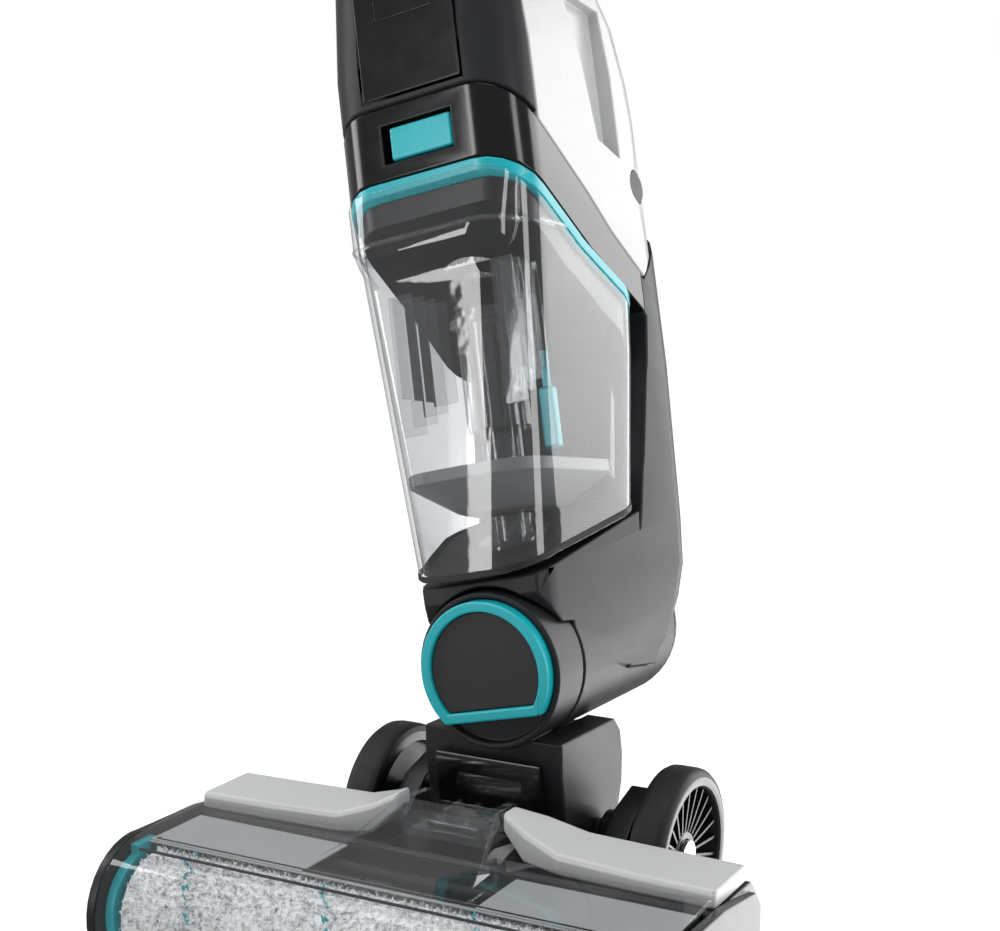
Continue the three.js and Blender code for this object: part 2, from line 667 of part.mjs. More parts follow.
add(bodyGroup, 'battery_pack', cut(
  softBox(-BATTERY.half, BATTERY.half, BATTERY.y0, BATTERY.y1, BATTERY.z0, BATTERY.z1, 4),
  box(-16, 16, BATTERY.y1 - 4, BATTERY.y1 + 1, BATTERY.z1 - 24, BATTERY.z1 - 8),
), 'charcoal');
add(bodyGroup, 'battery_door', common(
  envelope(0.4, 30, 230, spineRear),
  box(-BATTERY.half, BATTERY.half, BATTERY.y1 + GAP, 160, BATTERY.z0, BATTERY.z1),
), 'charcoal');

// ---------------------------------------------------------------- collar, core and front strip
const RECESS = { x: 20, z0: 249, z1: 268 };
const MOTOR_R = 28;
const MOTOR = { y: 48, z0: 240, z1: 310 };
const PUMP = { r: 11, half: 20, z: 332, room: 25 };
const CORE_HALF = 34;
const CORE_REAR = 82;
const SHOULDER_Z = BODY_TOP - 42;         // top of the clean tank
const DISPLAY_Z = BODY_TOP - 72;          // lower edge of the display
const DISPLAY_H = 24;
const STRIP_Z = 282;                      // foot of the front strip

const collarSide = [
  [-12, bandLine(-12) + GAP],
  [COLLAR_END, bandLine(COLLAR_END) + GAP],
  [COLLAR_END, sideLine(COLLAR_END) - GAP],
  [PANEL_Y, sideLine(PANEL_Y) - GAP],
  [-12, seamLine(-12) - GAP],
];
const buttonRoom = box(-RECESS.x, RECESS.x, BODY_FRONT - 5, 8, RECESS.z0, RECESS.z1);
const collar = cut(
  common(envelope(0, 150, 320), wide(collarSide)),
  buttonRoom,
  rodZ(MOTOR_R + 1.5, MOTOR.z0 - 6, 320, 0, MOTOR.y, 32),
  rodZ(12, 190, 240, 0, MOTOR.y, 24),
  cut(
    common(envelope(4, 150, 320), wide([
      [-12, bandLine(-12) + 5], [96, bandLine(96) + 5], [96, sideLine(96) - 3],
      [PANEL_Y, sideLine(PANEL_Y) - 3], [-12, seamLine(-12) - 4]])),
    rodZ(MOTOR_R + 4, 150, 320, 0, MOTOR.y, 32),
    box(-RECESS.x - 3, RECESS.x + 3, -30, 12, RECESS.z0 - 3, RECESS.z1 + 3),
  ),
  box(-3, 3, 70, 90, 180, 240),
);
add(bodyGroup, 'collar', collar, 'black');
add(bodyGroup, 'tank_button', join(
  softBox(-RECESS.x + 4, RECESS.x - 1, BODY_FRONT + 1, BODY_FRONT + 9, RECESS.z0 + 1.2,
    RECESS.z1 - 1.2, 1.5),
), 'teal');

// The clean tank comes off up and back, so the line above it leans back with that path.
const liftLine = line([PANEL_Y, SHOULDER_Z], [PANEL_Y + 37, SHOULDER_Z + 45]);
const coreSide = [
  [-12, seamLine(-12) + GAP],
  [PANEL_Y - GAP, seamLine(PANEL_Y - GAP) + GAP],
  [PANEL_Y - GAP, liftLine(PANEL_Y) + GAP],
  [PANEL_Y - GAP + 37, liftLine(PANEL_Y + 37) + GAP],
  [-12, BODY_TOP + 5],
];
const coreBlock = common(
  slab([[0, sideLine(0) + 5], [PANEL_Y, sideLine(PANEL_Y) + GAP],
    [CORE_REAR, sideLine(CORE_REAR) + GAP], [CORE_REAR, BODY_TOP + 5], [0, BODY_TOP + 5]],
  -CORE_HALF, CORE_HALF),
  join(envelope(3, 150, BODY_TOP - 12), envelope(0, BODY_TOP - 52, BODY_TOP)),
);
const housing = cut(
  join(common(envelope(0, 230, BODY_TOP), wide(coreSide)), coreBlock),
  rodZ(MOTOR_R + 1.5, 180, MOTOR.z1 + 4, 0, MOTOR.y, 32),
  rodZ(PUMP.room, MOTOR.z1, PUMP.z + PUMP.r + 2, 0, MOTOR.y, 24),
  box(-28 - GAP, 28 + GAP, -20, BODY_FRONT + 2.4, STRIP_Z - GAP, 352),
  box(-24, 24, BODY_FRONT + 2.4 - 1, BODY_FRONT + 9, 318, 346),
  rodZ(TUBE_R + 0.2, BODY_TOP - 36, BODY_TOP + 2, 0, TUBE_Y, 32),
  cut(common(envelope(3, SHOULDER_Z - 2, BODY_TOP - 8),
    box(-CORE_HALF + 3, CORE_HALF - 3, -30, CORE_REAR - 3, SHOULDER_Z + 5, BODY_TOP + 8)),
  rodZ(TUBE_R + 4, 300, BODY_TOP + 8, 0, TUBE_Y, 24)),
  slab([[30, MOTOR.z0], [30, BODY_TOP - 48], [CORE_REAR - 3, BODY_TOP - 48],
    [CORE_REAR - 3, MOTOR.z0]],
    -CORE_HALF + 3, CORE_HALF - 3),
  rodZ(9, 300, 372, 0, 66, 16),
);
add(bodyGroup, 'upper_housing', housing, 'charcoal');

add(bodyGroup, 'front_strip', cut(
  softBox(-28, 28, BODY_FRONT - 0.4, BODY_FRONT + 2.1, STRIP_Z, BODY_TOP - 40.5, 0.8),
  box(-17, 17, BODY_FRONT - 3, BODY_FRONT + 1, DISPLAY_Z, DISPLAY_Z + DISPLAY_H),
), 'black');
add(bodyGroup, 'display_lens', softBox(-17 + GAP, 17 - GAP, BODY_FRONT - 0.2, BODY_FRONT + 0.8,
  DISPLAY_Z + GAP, DISPLAY_Z + DISPLAY_H - GAP, 0.4), 'black');
add(bodyGroup, 'control_board', box(-22, 22, BODY_FRONT + 4, BODY_FRONT + 5.6,
  DISPLAY_Z, DISPLAY_Z + DISPLAY_H), 'board');

add(bodyGroup, 'suction_motor', join(
  rodZ(MOTOR_R, MOTOR.z0 + 20, MOTOR.z1, 0, MOTOR.y, 36),
  rodZ(4, MOTOR.z0 + 3, MOTOR.z0 + 21, 0, MOTOR.y, 16),
), 'steel');
add(bodyGroup, 'water_pump', join(
  rodX(PUMP.r, -PUMP.half, PUMP.half, MOTOR.y, PUMP.z, 24),
  rodX(3, -PUMP.half - 2, -PUMP.half + 1, MOTOR.y, PUMP.z, 10),
), 'grey');
const fanBlades = [];
for (let i = 0; i < 9; i += 1) {
  fanBlades.push(box(8, 25, -0.8, 0.8, MOTOR.z0 + 5, MOTOR.z0 + 16).rotateZ(2 * Math.PI * i / 9));
}
add(bodyGroup, 'suction_fan', cut(
  join(rodZ(26, MOTOR.z0 + 3.5, MOTOR.z0 + 6, 0, 0, 36), rodZ(9, MOTOR.z0 + 3.5, MOTOR.z0 + 17, 0, 0),
    ...fanBlades),
  rodZ(4 + RUN, MOTOR.z0 + 2, MOTOR.z0 + 18, 0, 0, 16),
).translate(0, MOTOR.y, 0), 'grey');

// ---------------------------------------------------------------- clean water tank
const tankSideCut = [
  [PANEL_Y + GAP, sideLine(PANEL_Y) + 2 * GAP],
  [SIDE_END, sideLine(SIDE_END) + 2 * GAP],
  [NOTCH[0], NOTCH[1] + 2 * GAP],
  [160, NOTCH[1] + 2 * GAP],
  [160, BODY_TOP + 5],
  [PANEL_Y + 40, BODY_TOP + 5],
  [PANEL_Y + 37, liftLine(PANEL_Y + 37) - GAP],
  [PANEL_Y + GAP, liftLine(PANEL_Y) - GAP],
];
const fingerRoom = (side) => slab([[82, 262], [104, 256], [104, 336], [66, 338]],
  side > 0 ? 46 : -60, side > 0 ? 60 : -46);
const cleanOuter = cut(
  common(envelope(0, 150, BODY_TOP), wide(tankSideCut)),
  box(-CORE_HALF - GAP, CORE_HALF + GAP, -20, CORE_REAR + GAP, 150, BODY_TOP + 8),
);
const cleanInner = cut(
  common(envelope(WALL, 150, BODY_TOP - 12), wide([
    [PANEL_Y + WALL, sideLine(PANEL_Y) + 4], [SIDE_END, sideLine(SIDE_END) + 4],
    [NOTCH[0], NOTCH[1] + 4], [160, NOTCH[1] + 4], [160, BODY_TOP - 4],
    [PANEL_Y + 35, BODY_TOP - 4], [PANEL_Y + WALL, SHOULDER_Z - 3]])),
  box(-CORE_HALF - WALL, CORE_HALF + WALL, -20, CORE_REAR + WALL, 150, BODY_TOP + 8),
);
const thick = (side) => slab([[79, 256], [107, 250], [107, 342], [62, 342]],
  side > 0 ? 43 : -60, side > 0 ? 60 : -43);
const FILL = { y: 122, r: 9 };
const cleanTank = cut(
  cleanOuter,
  cut(cleanInner, thick(1), thick(-1)),
  fingerRoom(1), fingerRoom(-1),
  rodX(FILL.r, 30, 60, FILL.y, 244),
);
add(bodyGroup, 'clean_tank', cleanTank, 'pale');
add(bodyGroup, 'clean_tank_cap', join(
  rodX(FILL.r - GAP, 47, 53.6, FILL.y, 244),
  rodX(FILL.r - 2.5, 42, 48, FILL.y, 244),
), 'charcoal');

// ---------------------------------------------------------------- dirty water tank
const tankRear = (z) => backLine(z) - GAP;
const tankSide = (inset) => [
  [-30, tankFloor(-30) + inset], [130, tankFloor(130) + inset],
  [130, bandLine(130) - BAND_H - GAP], [-30, bandLine(-30) - BAND_H - GAP],
];
const openTop = (inset) => [
  [-30, tankFloor(-30) + inset], [130, tankFloor(130) + inset], [130, 320], [-30, 320],
];
const lipRings = (grow) => [
  [184, -1, 38], [200, 9, 43], [208, 10, 45], [244, 3, 50],
].map(([z, out, half]) => raise(
  plan(half - grow, half + 2 - grow, BODY_FRONT - out + grow, 24, 18 - grow, 4 - grow), z));
const PIPE = { y: 44, r: 11 };
const tankOuter = join(
  common(envelope(0.2, 20, 240, tankRear), wide(tankSide(0))),
  loft(lipRings(0)),
);
const dirtyTank = cut(
  tankOuter,
  common(envelope(0.2 + WALL, 20, 250, tankRear), wide(openTop(WALL))),
  common(
    loft(lipRings(WALL)),
    box(-60, 60, -40, 30, 180, 260),
  ),
  wide([[-40, bandLine(-40) - BAND_H - GAP], [130, bandLine(130) - BAND_H - GAP],
    [130, 330], [-40, 330]]),
  rodZ(PIPE.r + 0.2, 40, 75, 0, PIPE.y, 32),
);
add(bodyGroup, 'dirty_tank', dirtyTank, 'clear');

// Lid: a teal flange above the clear wall, and a plug that hangs inside it.
const lidFlange = common(
  envelope(0, 150, 250, tankRear),
  wide([[-30, bandLine(-30) - BAND_H], [130, bandLine(130) - BAND_H],
    [130, bandLine(130) - GAP], [-30, bandLine(-30) - GAP]]),
);
const lidHole = (grow) => envelope(7 - grow, 140, 250, tankRear);
add(bodyGroup, 'lid_band', cut(lidFlange, lidHole(0)), 'teal');

const plugLow = line([-6, bandLine(-6) - BAND_H - 12], [100, bandLine(100) - BAND_H - 22]);
const FILTER_R = 24;
const lid = cut(
  join(
    common(lidHole(-GAP), wide([
      [-30, bandLine(-30) - BAND_H - 3], [130, bandLine(130) - BAND_H - 3],
      [130, bandLine(130) - 2 * GAP], [-30, bandLine(-30) - 2 * GAP]])),
    common(envelope(WALL + 0.8, 140, 250, tankRear), wide([
      [-30, plugLow(-30)], [130, plugLow(130)],
      [130, bandLine(130) - BAND_H - 2 * GAP],
      [-30, bandLine(-30) - BAND_H - 2 * GAP]])),
  ),
  rodZ(FILTER_R + GAP, bandLine(MOTOR.y) - BAND_H - 4, 260, 0, MOTOR.y, 32),
  rodZ(15, 150, 230, 0, MOTOR.y, 24),
);
add(bodyGroup, 'tank_lid', lid, 'charcoal');
const filterLow = bandLine(MOTOR.y) - BAND_H - 4 + GAP;
add(bodyGroup, 'air_filter', common(
  cut(rodZ(FILTER_R, filterLow, 230, 0, MOTOR.y, 32), rodZ(9, 150, 240, 0, MOTOR.y, 16)),
  wide([[-30, 150], [130, 150], [130, bandLine(130) - 1], [-30, bandLine(-30) - 1]]),
), 'pile');

// Inside the dirty tank: standpipe, separator dish, sleeve, baffles and float.
const PIPE_TOP = 170;
add(bodyGroup, 'intake_pipe', cut(
  join(
    rodZ(PIPE.r, tankFloor(PIPE.y) + 1.5, PIPE_TOP, 0, PIPE.y, 28),
    common(rodZ(PIPE.r + 7, 40, 90, 0, PIPE.y, 28), wide([
      [0, tankFloor(0) + WALL + GAP], [80, tankFloor(80) + WALL + GAP],
      [80, tankFloor(80) + WALL + 3], [0, tankFloor(0) + WALL + 3]])),
  ),
  rodZ(PIPE.r - 1.8, 30, 200, 0, PIPE.y, 28),
), 'clear');
const dishPlan = (inset, z) => raise(
  plan(frontHalfAt(96) - inset, 46.5 - inset, BODY_FRONT + inset, 88 - inset, 24 - inset * 0.5,
    18 - inset * 0.4), z);
add(bodyGroup, 'separator_dish', cut(
  loft([dishPlan(27, 76), dishPlan(22, 78), dishPlan(3.4, 92), dishPlan(3.4, 98)]),
  loft([dishPlan(25, 79.5), dishPlan(21, 81), dishPlan(5.4, 95), dishPlan(5.4, 99)]),
  rodZ(PIPE.r + GAP, 60, 110, 0, PIPE.y, 28),
), 'grey');
const sleeveTop = plugLow(PIPE.y) - 2;
add(bodyGroup, 'pipe_sleeve', cut(
  join(
    rodZ(17, 118, sleeveTop - 9, 0, PIPE.y, 28),
    rodZ(20, sleeveTop - 16, sleeveTop - 13, 0, PIPE.y, 28),
  ),
  rodZ(15, 100, sleeveTop - 12, 0, PIPE.y, 28),
), 'clear');

function baffle(x0, x1, y0, y1, z0) {
  const top = plugLow(y1) - 1;
  const plates = [];
  for (let i = 0; i < 4; i += 1) {
    const y = y0 + (y1 - y0 - 1.4) * i / 3;
    plates.push(box(x0, x1, y, y + 1.4, z0 + 6 * i, top));
  }
  return join(box(x0, x0 + 1.4, y0, y1, z0 + 20, top), ...plates);
}
add(bodyGroup, 'baffle_right', baffle(-37, -23, 10, 44, 118), 'clear');
add(bodyGroup, 'baffle_left', baffle(24, 36, 8, 34, 124), 'clear');
add(bodyGroup, 'level_float', join(
  softBox(26, 34, 37, 43, 104, 134, 1.5),
  box(28, 32, 39, 41, 133, 152),
), 'teal');

// ---------------------------------------------------------------- pump, handle and controls
add(bodyGroup, 'handle_tube', cut(
  rodZ(TUBE_R, BODY_TOP - 35, 868, 0, TUBE_Y, 32),
  rodZ(TUBE_R - 2, BODY_TOP - 36, 869, 0, TUBE_Y, 24),
), 'black');

const spline = (points) => new THREE.SplineCurve(
  [...points, points[0]].map(([y, z]) => new THREE.Vector2(y, z))).getPoints(points.length * 3);
const loopOuter = [[30, 866], [22, 890], [10, 930], [10, 975], [26, 1016], [58, 1036], [92, 1022],
  [108, 985], [103, 938], [86, 896], [62, 866]];
const loopInner = [[36, 926], [34, 972], [46, 1002], [68, 1007], [82, 984], [79, 944], [64, 910],
  [46, 904]];
function handleLoop() {
  const shape = new THREE.Shape(spline(loopOuter));
  shape.holes.push(new THREE.Path(spline(loopInner).reverse()));
  const half = 14;
  const bevel = 7;
  const g = new THREE.ExtrudeGeometry(shape, {
    depth: 2 * (half - bevel), steps: 1, bevelEnabled: true, bevelThickness: bevel,
    bevelSize: bevel, bevelOffset: -bevel, bevelSegments: 2,
  });
  const frame = new THREE.Matrix4().makeBasis(
    new THREE.Vector3(0, 1, 0), new THREE.Vector3(0, 0, 1), new THREE.Vector3(1, 0, 0));
  return g.applyMatrix4(frame).translate(-(half - bevel), 0, 0);
}
const BUTTON_R = 5;
const BUTTONS_Z = [968, 946];
const TRIGGER = { y: 74, z0: 950, z1: 976 };
add(bodyGroup, 'handle_loop', cut(
  join(handleLoop(), rodZ(TUBE_R + 4, 838, 884, 0, TUBE_Y, 28)),
  rodZ(TUBE_R + 0.2, 820, 868 + GAP, 0, TUBE_Y, 28),
  ...BUTTONS_Z.map((z) => rodY(BUTTON_R + GAP, 0, 15, 0, z, 24)),
  box(-4.5 - GAP, 4.5 + GAP, 60, 92, TRIGGER.z0 - GAP, TRIGGER.z1 + GAP),
), 'black');
add(bodyGroup, 'power_button', rodY(BUTTON_R, 8.6, 12.4, 0, BUTTONS_Z[0], 24), 'teal');
add(bodyGroup, 'mode_button', rodY(BUTTON_R, 8.6, 12.4, 0, BUTTONS_Z[1], 24), 'grey');
add(bodyGroup, 'spray_trigger',
  softBox(-4.5, 4.5, TRIGGER.y, TRIGGER.y + 12, TRIGGER.z0, TRIGGER.z1, 2), 'teal');
// The row's origin is under the middle of the whole object's box, on the floor.
group.updateMatrixWorld(true);
const extent = new THREE.Box3().setFromObject(group, true);
group.position.set(-(extent.min.x + extent.max.x) / 2, -(extent.min.y + extent.max.y) / 2,
  -extent.min.z);

export default group;
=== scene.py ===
# %% [markdown]
# # An upright floor scrubber, finished part by part
# The solid model gives every piece its size and place. This lesson keeps those places and gives
# each piece the rounded edges, small parts and surface that the moulded object has.

# %% The fixed frame
import bpy
import json
import math
import random
from mathutils import Matrix, Vector


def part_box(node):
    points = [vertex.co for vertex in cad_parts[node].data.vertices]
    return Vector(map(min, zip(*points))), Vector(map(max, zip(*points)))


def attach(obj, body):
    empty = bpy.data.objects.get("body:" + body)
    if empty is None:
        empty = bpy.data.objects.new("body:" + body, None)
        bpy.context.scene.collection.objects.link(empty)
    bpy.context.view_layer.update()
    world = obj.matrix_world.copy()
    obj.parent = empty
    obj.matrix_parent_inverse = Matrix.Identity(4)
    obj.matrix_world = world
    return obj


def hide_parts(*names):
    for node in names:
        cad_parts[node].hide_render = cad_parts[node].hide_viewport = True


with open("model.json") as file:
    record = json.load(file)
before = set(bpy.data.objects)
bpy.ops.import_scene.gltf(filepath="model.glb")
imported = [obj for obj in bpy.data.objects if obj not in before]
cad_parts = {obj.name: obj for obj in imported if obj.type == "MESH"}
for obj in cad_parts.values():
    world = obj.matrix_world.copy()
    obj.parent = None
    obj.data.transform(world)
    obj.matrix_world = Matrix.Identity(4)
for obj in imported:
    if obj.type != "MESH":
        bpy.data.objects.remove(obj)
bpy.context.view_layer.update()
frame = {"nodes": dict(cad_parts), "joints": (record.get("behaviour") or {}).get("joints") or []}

MM = 0.001
print("solid pieces:", len(frame["nodes"]))

# %% [markdown]
# The machine has its own places to measure from. The foot stands square to the floor over the wheel
# axle. The body leans back and is turned over about the barrel. The joints say where each one is,
# so a piece can be modelled upright and then carried to its place by one matrix.

# %% Places of the foot and the body
joints = {joint["name"]: joint for joint in frame["joints"]}


def placed(origin, across, back, up):
    turn = Matrix((across, back, up)).transposed().to_4x4()
    return Matrix.Translation(origin) @ turn


AXLE = Vector(joints["wheel_left_spin"]["pos_m"])
AXLE_HEIGHT = AXLE.z
BODY_ACROSS = Vector(joints["fill_cap_pull"]["axis"])
BODY_BACK = Vector(joints["battery_slide"]["axis"])
BODY_UP = Vector(joints["float_rise"]["axis"])
BODY = placed(joints["swivel"]["pos_m"], BODY_ACROSS, BODY_BACK, BODY_UP)
print("wheel axle at", tuple(round(v, 4) for v in AXLE))

# %% [markdown]
# Shader maths reads best as plain sums. `Wire` wraps the output of a node, so that `1 - mask` or
# `grain * 0.4` adds the Math node it needs. `Finish` holds one material and has a single method
# that adds any other node from its type, its settings and its sockets.

# %% Wires and finishes
class Wire:
    """The output of a node, which can stand in a sum."""

    def __init__(self, finish, socket):
        self.finish = finish
        self.socket = socket

    def sum(self, operation, first, second):
        return self.finish.node("ShaderNodeMath", {"operation": operation}, {0: first, 1: second})

    def __add__(self, other):
        return self.sum("ADD", self, other)

    def __radd__(self, other):
        return self.sum("ADD", other, self)

    def __sub__(self, other):
        return self.sum("SUBTRACT", self, other)

    def __rsub__(self, other):
        return self.sum("SUBTRACT", other, self)

    def __mul__(self, other):
        return self.sum("MULTIPLY", self, other)

    def __rmul__(self, other):
        return self.sum("MULTIPLY", other, self)

    def __pow__(self, other):
        return self.sum("POWER", self, other)

    def __gt__(self, other):
        return self.sum("GREATER_THAN", self, other)


class Finish:
    """One material on its Principled shader."""

    def __init__(self, name):
        self.material = bpy.data.materials.new(name)
        self.material.use_nodes = True
        self.tree = self.material.node_tree
        self.shader = self.tree.nodes["Principled BSDF"]

    def node(self, kind, settings=None, inputs=None, output=0):
        made = self.tree.nodes.new(kind)
        for key, value in (settings or {}).items():
            if key == "stops":
                ramp = made.color_ramp
                while len(ramp.elements) < len(value):
                    ramp.elements.new(0.5)
                for element, (place, colour) in zip(ramp.elements, value):
                    element.position = place
                    element.color = colour
            else:
                setattr(made, key, value)
        for key, value in (inputs or {}).items():
            if isinstance(value, Wire):
                self.tree.links.new(value.socket, made.inputs[key])
            else:
                made.inputs[key].default_value = value
        return Wire(self, made.outputs[output])

    def set(self, **sockets):
        for key, value in sockets.items():
            socket = self.shader.inputs[key.replace("_", " ")]
            if isinstance(value, Wire):
                self.tree.links.new(value.socket, socket)
            else:
                socket.default_value = value
        return self

    def place(self):
        return self.node("ShaderNodeTexCoord", output="Object")

    def noise(self, scale, detail=3, roughness=0.5, vector=None, distortion=0):
        return self.node("ShaderNodeTexNoise", inputs={
            "Vector": vector or self.place(), "Scale": scale, "Detail": detail,
            "Roughness": roughness, "Distortion": distortion})

    def between(self, factor, first, second):
        return self.node("ShaderNodeMix", {"data_type": "RGBA"},
                         {0: factor, 6: (*first, 1), 7: (*second, 1)}, 2)

    def span(self, value, low, high, start=0, end=1):
        return self.node("ShaderNodeMapRange", inputs={
            0: value, 1: low, 2: high, 3: start, 4: end})

    def bump(self, height, distance, strength=1.0):
        return self.node("ShaderNodeBump", inputs={
            "Height": height, "Distance": distance, "Strength": strength})


print("shader helpers ready")

# %% [markdown]
# Most of the machine is injection-moulded plastic. The tool leaves a fine spark-eroded grain, the
# flow of the plastic leaves a faint cloud of gloss, and handling polishes it unevenly. One maker
# covers every moulded part: what differs is colour, gloss and how coarse the grain is.

# %% Moulded plastics
def moulded(name, colour, gloss, grain=0.00004, grain_scale=2600, cloud=0.06, coat=0.0,
            shine=0.5):
    finish = Finish(name)
    flow = finish.noise(14, 4, 0.6)
    handled = finish.noise(90, 3, 0.55)
    fine = finish.noise(grain_scale, 2, 0.6)
    darker = tuple(c * (1 - cloud) for c in colour)
    lighter = tuple(min(1, c * (1 + cloud)) for c in colour)
    finish.set(
        Base_Color=finish.between(finish.span(flow, 0.35, 0.65), darker, lighter),
        Roughness=gloss + (handled - 0.5) * 0.10 + (flow - 0.5) * 0.08,
        Normal=finish.bump(fine, grain),
        Coat_Weight=coat,
        Coat_Roughness=0.06,
        Specular_IOR_Level=shine,
    )
    return finish.material


BLACK = moulded("black_moulding", (0.007, 0.0075, 0.0085), 0.30, shine=0.30)
GLOSS_BLACK = moulded("gloss_black_moulding", (0.004, 0.0043, 0.005), 0.14, 0.00001, 900,
                      shine=0.35)
CHARCOAL = moulded("charcoal_moulding", (0.018, 0.019, 0.021), 0.38, shine=0.14)
DARK_DISC = moulded("dark_disc_moulding", (0.016, 0.0165, 0.018), 0.45, 0.00006, shine=0.3)
MID_GREY = moulded("mid_grey_moulding", (0.14, 0.145, 0.15), 0.36)
SHIELD_GREY = moulded("shield_grey_moulding", (0.42, 0.425, 0.43), 0.32, shine=0.3)
PALE = moulded("pale_moulding", (0.50, 0.505, 0.51), 0.30, 0.00001, cloud=0.01, shine=0.3)
TEAL = moulded("teal_moulding", (0.008, 0.36, 0.41), 0.26, 0.00002, cloud=0.04, shine=0.4)
print("moulded plastics:", 7)

# %% [markdown]
# A clear wall is seen by what it reflects and by its edges. Light that goes straight through it
# loses little. Light that runs along the wall meets more plastic, so edges look dark, and the
# surface turns to a mirror there. Three shaders give this: what passes, the dark body of the
# plastic, and the reflection. Facing mixes the first two, and Fresnel adds the third where light
# enters the wall, since no ray is bent on its way out.

# %% Clear plastics
def clear_plastic(name, body, face_on, edge_on, shine=1.0):
    finish = Finish(name)
    swirl = finish.noise(18, 3, 0.5, distortion=0.6)
    ripple = finish.noise(55, 2, 0.4)
    wave = finish.bump(ripple, 0.00010)
    facing = finish.node("ShaderNodeLayerWeight", inputs={"Blend": 0.5, "Normal": wave},
                         output="Facing")
    fresnel = finish.node("ShaderNodeFresnel", inputs={"IOR": 1.5, "Normal": wave})
    leaving = finish.node("ShaderNodeNewGeometry", output="Backfacing")
    mirrored = fresnel * (1 - leaving) * shine
    through = finish.node("ShaderNodeBsdfTransparent", inputs={"Color": (0.97, 0.975, 0.98, 1)})
    inside = finish.node("ShaderNodeBsdfPrincipled", inputs={
        "Base Color": finish.between(swirl, body, tuple(c * 1.25 for c in body)),
        "Roughness": 0.25 + swirl * 0.1})
    thickness = face_on + facing ** 5.0 * (edge_on - face_on)
    wall = finish.node("ShaderNodeMixShader", inputs={0: thickness, 1: through, 2: inside})
    finish.set(Base_Color=(1, 1, 1, 1), Metallic=1.0, Roughness=0.02 + swirl * 0.02, Normal=wave)
    mirror = Wire(finish, finish.shader.outputs[0])
    whole = finish.node("ShaderNodeMixShader", inputs={0: mirrored, 1: wall, 2: mirror})
    finish.tree.links.new(whole.socket, finish.tree.nodes["Material Output"].inputs["Surface"])
    return finish.material


CLEAR_TANK = clear_plastic("clear_tank_plastic", (0.10, 0.105, 0.11), 0.05, 0.80)
CLEAR_COVER = clear_plastic("clear_cover_plastic", (0.12, 0.125, 0.13), 0.03, 0.60)
CLEAR_INNER = clear_plastic("clear_inner_plastic", (0.14, 0.145, 0.15), 0.08, 0.90)

# %% [markdown]
# Steel, the black tube, rubber, the filter paper and the circuit board are small areas, but each
# has its own mark: drawn lines on steel and along the tube, a dry bloom on rubber.

# %% Metals, rubber, paper and board
def drawn_metal(name, colour, gloss, stretch):
    finish = Finish(name)
    lines = finish.node("ShaderNodeMapping", inputs={"Vector": finish.place(), "Scale": stretch})
    drawn = finish.noise(1, 4, 0.6, vector=lines)
    finish.set(
        Base_Color=finish.between(drawn, tuple(c * 0.85 for c in colour), colour),
        Metallic=1.0,
        Roughness=gloss + (drawn - 0.5) * 0.18,
        Normal=finish.bump(drawn, 0.00003),
    )
    return finish.material


def rubber_like(name, colour):
    finish = Finish(name)
    bloom = finish.noise(45, 4, 0.65)
    pores = finish.noise(1800, 2, 0.5)
    finish.set(
        Base_Color=finish.between(bloom, colour, tuple(c * 1.7 for c in colour)),
        Roughness=0.55 + (bloom - 0.5) * 0.2,
        Specular_IOR_Level=0.22,
        Normal=finish.bump(pores, 0.00008),
    )
    return finish.material


STEEL = drawn_metal("brushed_steel", (0.58, 0.59, 0.60), 0.34, (40, 1500, 1500))
TUBE = drawn_metal("black_anodised_tube", (0.035, 0.036, 0.04), 0.34, (1500, 1500, 30))
MOTOR_CAN = drawn_metal("motor_can", (0.42, 0.42, 0.44), 0.4, (1200, 1200, 60))
RUBBER = rubber_like("black_rubber", (0.012, 0.012, 0.013))
TYRE = rubber_like("wheel_tread", (0.009, 0.009, 0.010))

paper = Finish("filter_paper")
pleat_height_and_fold_shade = paper.node("ShaderNodeTexWave", {"bands_direction": "X"},
                    {"Vector": paper.place(), "Scale": 140.0, "Distortion": 0.4})
# The paper is painted darker in the pleat valleys and lighter on the ridges: painted shade in the
# folds, on top of the bump.
paper.set(Base_Color=paper.between(pleat_height_and_fold_shade, (0.55, 0.55, 0.53), (0.82, 0.82, 0.80)),
          Roughness=0.9, Normal=paper.bump(pleat_height_and_fold_shade, 0.0006))
PAPER = paper.material

board = Finish("circuit_board")
tracks = board.node("ShaderNodeTexBrick", inputs={
    "Vector": board.place(), "Scale": 220.0, "Mortar Size": 0.12})
board.set(Base_Color=board.between(board.node("ShaderNodeTexNoise", inputs={
    "Vector": board.place(), "Scale": 500.0}) > 0.55, (0.008, 0.08, 0.035), (0.02, 0.17, 0.08)),
    Roughness=0.4, Normal=board.bump(tracks, 0.0002))
BOARD = board.material
print("small finishes ready")

# %% [markdown]
# The pile of the roll is a looped microfibre: pale grey and white yarn with a few teal bands woven
# in a slow helix. Each tuft takes its shade from where it stands, so the speckle is in the yarn
# and not painted over it.

# %% Pile of the roll
pile = Finish("microfibre_pile")
speck = pile.noise(420, 3, 0.75)
clump = pile.noise(70, 3, 0.6)
yarn = pile.node("ShaderNodeValToRGB", {"stops": [
    (0.30, (0.16, 0.16, 0.165, 1)), (0.42, (0.55, 0.55, 0.56, 1)), (0.54, (0.92, 0.92, 0.92, 1)),
    (0.66, (1.00, 1.00, 1.00, 1))]}, {0: speck * 0.8 + clump * 0.2})
pile.set(Base_Color=yarn, Roughness=0.9, Sheen_Weight=0.5, Sheen_Roughness=0.5,
         Normal=pile.bump(speck, 0.0012))
PILE = pile.material

teal_yarn = Finish("teal_yarn")
twist = teal_yarn.noise(300, 3, 0.7)
teal_yarn.set(Base_Color=teal_yarn.between(twist, (0.006, 0.22, 0.25), (0.02, 0.50, 0.55)),
              Roughness=0.9, Sheen_Weight=0.5, Normal=teal_yarn.bump(twist, 0.001))
TEAL_YARN = teal_yarn.material
print("pile finishes ready")

